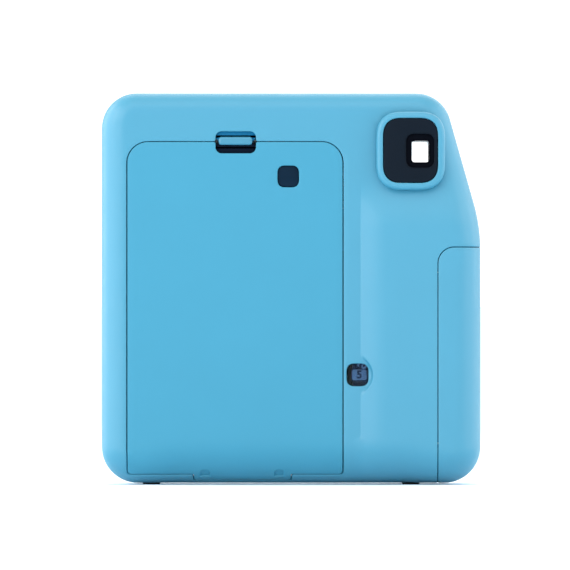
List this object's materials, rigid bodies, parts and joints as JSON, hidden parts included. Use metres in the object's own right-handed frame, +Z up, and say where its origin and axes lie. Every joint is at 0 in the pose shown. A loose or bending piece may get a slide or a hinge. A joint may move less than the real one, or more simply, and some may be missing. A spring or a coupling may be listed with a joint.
{
  "type": "instant camera",
  "caption": "Instant film camera with a square body, turning lens ring, hinged film door, side battery door, eye-level finder and driven ejector rollers.",
  "frame": {"origin": "on the surface the feet stand on, below the middle of the overall box", "axes": "+X to the right of the person holding the camera, +Y the way the lens points, +Z up"},
  "size_m": [0.123, 0.0576, 0.127],
  "materials": {
    "blue_shell": "satin moulded plastic, bright sky blue",
    "light_blue": "smooth satin plastic, lighter blue",
    "dark_plastic": "matt black plastic",
    "grey_plastic": "matt grey plastic",
    "white_plastic": "natural acetal",
    "smoked_window": "polished dark window",
    "glass": "clear moulded optics",
    "mirror": "bright metallised",
    "steel": "plain steel",
    "brass": "plated spring contact",
    "board_green": "solder mask",
    "cell_wrap": "printed shrink wrap, left plain",
    "rubber": "matt rubber"
  },
  "bodies": {
    "root": {"battery_contact_lower": "brass", "battery_contact_upper": "brass", "battery_holder": "dark_plastic", "battery_lower": "cell_wrap", "battery_upper": "cell_wrap", "case_screw_1": "steel", "case_screw_2": "steel", "circuit_board": "board_green", "counter_post": "steel", "counter_window": "smoked_window", "drive_motor": "steel", "eyepiece_frame": "dark_plastic", "eyepiece_lens": "glass", "eyepiece_panel": "dark_plastic", "finder_tube": "dark_plastic", "finder_window": "glass", "flash_capacitor": "cell_wrap", "flash_lamp": "glass", "flash_reflector": "mirror", "flash_window": "glass", "foot_front_left": "rubber", "foot_front_right": "rubber", "foot_rear_left": "rubber", "foot_rear_right": "rubber", "front_cover": "blue_shell", "hinge_pin": "steel", "idler_pin": "steel", "lens_mount": "dark_plastic", "light_box": "dark_plastic", "light_sensor_window": "smoked_window", "main_frame": "dark_plastic", "rear_cover": "blue_shell", "roller_bracket_left": "grey_plastic", "roller_bracket_right": "grey_plastic", "shutter_switch": "dark_plastic"},
    "film_door": {"film_door": "blue_shell", "pack_window": "smoked_window", "pressure_spring": "steel"},
    "door_latch": {"door_latch": "light_blue"},
    "battery_door": {"battery_door": "blue_shell"},
    "lens_ring": {"lens_ring": "light_blue"},
    "lens_barrel": {"lens_barrel": "dark_plastic", "front_lens": "glass", "aperture_plate": "dark_plastic", "shutter_plate": "grey_plastic", "rear_lens": "glass", "selfie_mirror": "mirror"},
    "shutter_blade_left": {"shutter_blade_left": "steel"},
    "shutter_blade_right": {"shutter_blade_right": "steel"},
    "shutter_button": {"shutter_button": "light_blue"},
    "front_roller": {"front_roller": "steel", "front_roller_gear": "white_plastic"},
    "rear_roller": {"rear_roller": "steel", "rear_roller_gear": "white_plastic"},
    "idler_gear": {"idler_gear": "white_plastic"},
    "motor_pinion": {"motor_pinion": "white_plastic", "motor_shaft": "steel"},
    "counter_dial": {"counter_dial": "grey_plastic"},
    "film_claw": {"film_claw": "steel"}
  },
  "joints": [
    {"name": "film_door_hinge", "type": "hinge", "parent": "root", "child": "film_door", "pos_m": [-0.0182, -0.01707, 0.00334], "axis": [1, 0, 0], "range_deg": [0, 90]},
    {"name": "door_latch_slide", "type": "slide", "parent": "film_door", "child": "door_latch", "axis": [0, 0, -1], "range_m": [0, 0.002], "stiffness_N_per_m": 300},
    {"name": "battery_door_hinge", "type": "hinge", "parent": "root", "child": "battery_door", "pos_m": [0.0609, -0.0008, 0.0385], "axis": [0, 0, 1], "range_deg": [0, 95]},
    {"name": "lens_ring_turn", "type": "hinge", "parent": "root", "child": "lens_ring", "pos_m": [-0.0182, 0.0178, 0.058], "axis": [0, 1, 0], "range_deg": [0, 60]},
    {"name": "lens_barrel_slide", "type": "slide", "parent": "root", "child": "lens_barrel", "axis": [0, 1, 0], "range_m": [0, 0.009]},
    {"name": "shutter_left_turn", "type": "hinge", "parent": "lens_barrel", "child": "shutter_blade_left", "pos_m": [-0.0277, 0.0241, 0.058], "axis": [0, 1, 0], "range_deg": [0, 38], "stiffness_Nm_per_rad": 0.0005},
    {"name": "shutter_right_turn", "type": "hinge", "parent": "lens_barrel", "child": "shutter_blade_right", "pos_m": [-0.0087, 0.0233, 0.058], "axis": [0, 1, 0], "range_deg": [0, 38]},
    {"name": "shutter_button_press", "type": "slide", "parent": "root", "child": "shutter_button", "axis": [0, -1, 0], "range_m": [0, 0.0015], "stiffness_N_per_m": 500},
    {"name": "front_roller_spin", "type": "hinge", "parent": "root", "child": "front_roller", "pos_m": [-0.0182, -0.0061, 0.112], "axis": [1, 0, 0], "continuous": true},
    {"name": "rear_roller_spin", "type": "hinge", "parent": "root", "child": "rear_roller", "pos_m": [-0.0182, -0.0129, 0.112], "axis": [1, 0, 0], "continuous": true},
    {"name": "idler_gear_spin", "type": "hinge", "parent": "root", "child": "idler_gear", "pos_m": [0.0167, -0.0025, 0.10246], "axis": [1, 0, 0], "continuous": true},
    {"name": "motor_pinion_spin", "type": "hinge", "parent": "root", "child": "motor_pinion", "pos_m": [0.0167, -0.0025, 0.09282], "axis": [1, 0, 0], "continuous": true},
    {"name": "counter_dial_turn", "type": "hinge", "parent": "root", "child": "counter_dial", "pos_m": [0.0293, -0.022, 0.03565], "axis": [0, 1, 0], "range_deg": [0, 300]},
    {"name": "film_claw_slide", "type": "slide", "parent": "root", "child": "film_claw", "axis": [0, 0, 1], "range_m": [0, 0.012]}
  ],
  "couplings": [
    {"joint": "lens_barrel_slide", "follows": "lens_ring_turn", "m_per_rad": 0.00859},
    {"joint": "shutter_right_turn", "follows": "shutter_left_turn", "ratio": 1},
    {"joint": "rear_roller_spin", "follows": "front_roller_spin", "ratio": -1},
    {"joint": "idler_gear_spin", "follows": "front_roller_spin", "ratio": -0.5},
    {"joint": "motor_pinion_spin", "follows": "front_roller_spin", "ratio": 1.2}
  ]
}
